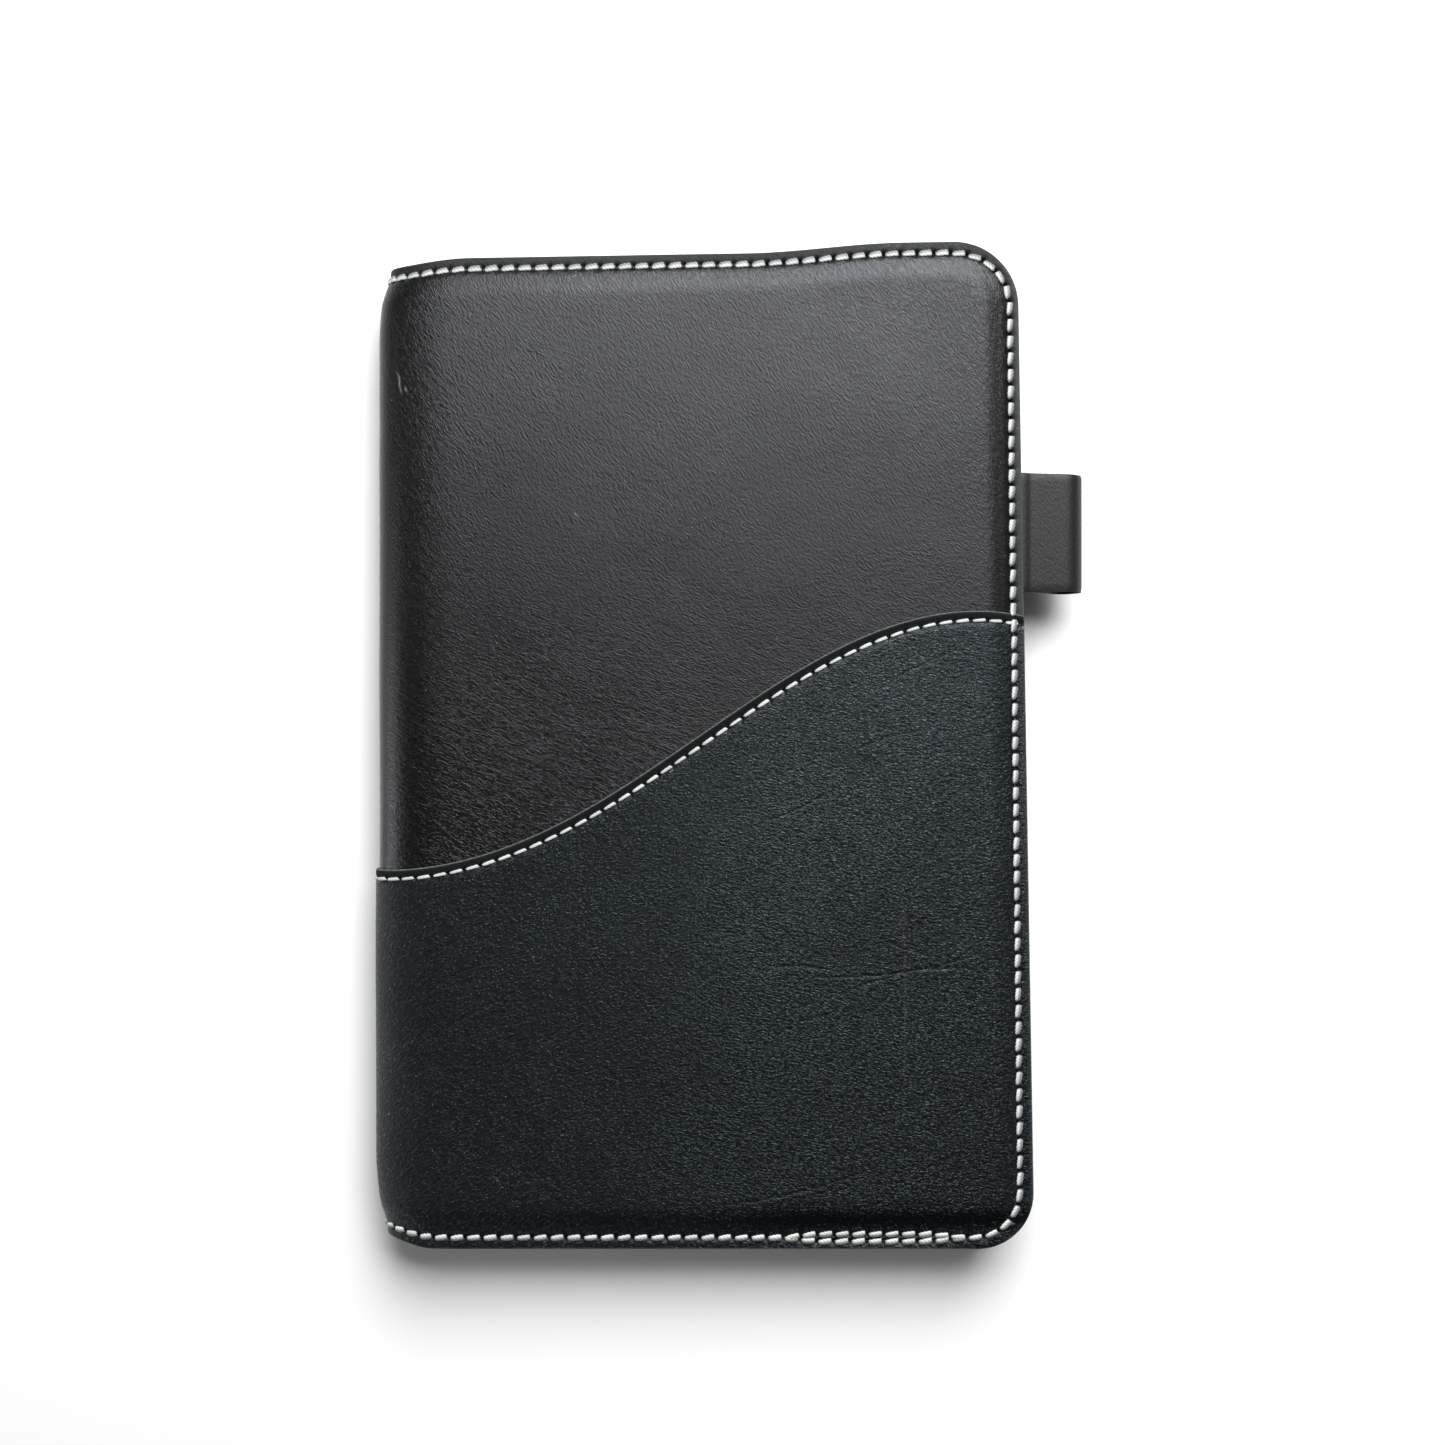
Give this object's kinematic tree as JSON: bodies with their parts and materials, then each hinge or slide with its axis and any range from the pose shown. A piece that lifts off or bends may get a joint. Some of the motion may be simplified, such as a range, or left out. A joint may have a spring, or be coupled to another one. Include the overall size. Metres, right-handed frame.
{
  "type": "leather notebook cover",
  "caption": "Closed leather notebook cover with a wave-edged lower panel, light edge stitching, two inner sleeves on a bound notebook, a hinged spine and a folded pen loop.",
  "frame": {"origin": "under the middle of the object's box, pen loop included, on the surface that the back cover lies on", "axes": "+X from the spine to the fore edge and the pen loop, +Y from the tail to the head, +Z from the back cover to the front cover"},
  "size_m": [0.1567, 0.222, 0.0192],
  "materials": {
    "upper_leather": "smooth satin full-grain leather",
    "lower_leather": "coarser blue-black grained leather",
    "loop_leather": "fine matt leather",
    "lining_leather": "thin matt lining leather",
    "sleeve_leather": "smooth matt leather",
    "thread": "twisted waxed thread",
    "board_cover": "book cloth over grey board",
    "paper": "uncoated cream paper",
    "binding_cloth": "open weave cloth",
    "band": "woven band"
  },
  "bodies": {
    "back_cover": {"back_edge_thread": "thread", "back_inner_thread": "thread", "back_lining": "lining_leather", "back_lower_panel": "lower_leather", "back_outer_leather": "upper_leather", "back_panel_thread": "thread", "back_sleeve": "sleeve_leather", "notebook_back_board": "board_cover", "notebook_backing_cloth": "binding_cloth", "notebook_head_band": "band", "notebook_spine_strip": "board_cover", "notebook_tail_band": "band", "notebook_text_block": "paper"},
    "spine": {"spine_edge_thread": "thread", "spine_lining": "lining_leather", "spine_lower_panel": "lower_leather", "spine_outer_leather": "upper_leather", "spine_panel_thread": "thread"},
    "front_cover": {"front_backtack_thread": "thread", "front_edge_thread": "thread", "front_inner_thread": "thread", "front_lining": "lining_leather", "front_lower_panel": "lower_leather", "front_outer_leather": "upper_leather", "front_panel_thread": "thread", "front_sleeve": "sleeve_leather", "notebook_front_board": "board_cover", "pen_loop": "loop_leather"}
  },
  "joints": [
    {"name": "spine_fold", "type": "hinge", "parent": "back_cover", "child": "spine", "pos_m": [-0.07575, 0, 0.0026], "axis": [0, -1, 0], "range_deg": [0, 90]},
    {"name": "front_fold", "type": "hinge", "parent": "spine", "child": "front_cover", "pos_m": [-0.07575, 0, 0.0166], "axis": [0, -1, 0], "range_deg": [0, 90]}
  ]
}
